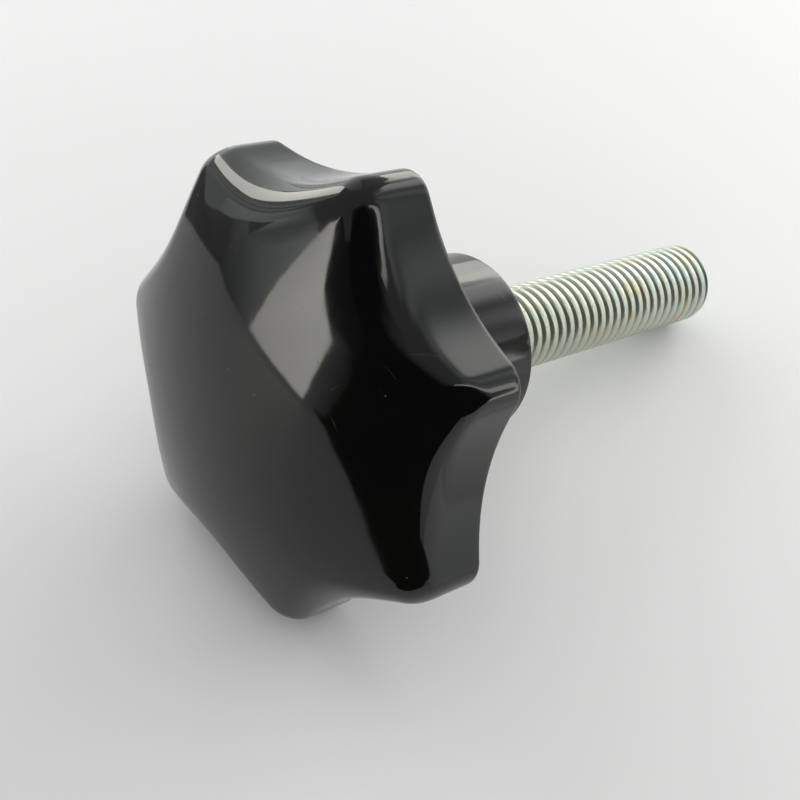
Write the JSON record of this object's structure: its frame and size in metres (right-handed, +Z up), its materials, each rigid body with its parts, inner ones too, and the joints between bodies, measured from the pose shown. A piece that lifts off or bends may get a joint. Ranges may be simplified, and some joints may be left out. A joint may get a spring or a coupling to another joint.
{
  "type": "star knob",
  "caption": "Lobed clamping knob with a smooth domed crown, a plain round boss and a moulded-in threaded steel stud.",
  "frame": {"origin": "middle of the bounding box, on the surface that the knob lies on", "axes": "+Z up from the surface; +X along the knob's axis seen from above, from the crown towards the stud's tip, which slopes down by 17.6 degrees; +Y across, and the XZ plane is the plane of symmetry"},
  "size_m": [0.0912, 0.0616, 0.0595],
  "materials": {
    "black_plastic": "high gloss moulded black phenolic, as moulded and polished",
    "zinc_steel": "bright zinc plate on rolled thread, faint yellow and blue tint"
  },
  "bodies": {
    "root": {"knob_head": "black_plastic", "threaded_stud": "zinc_steel"}
  },
  "joints": []
}
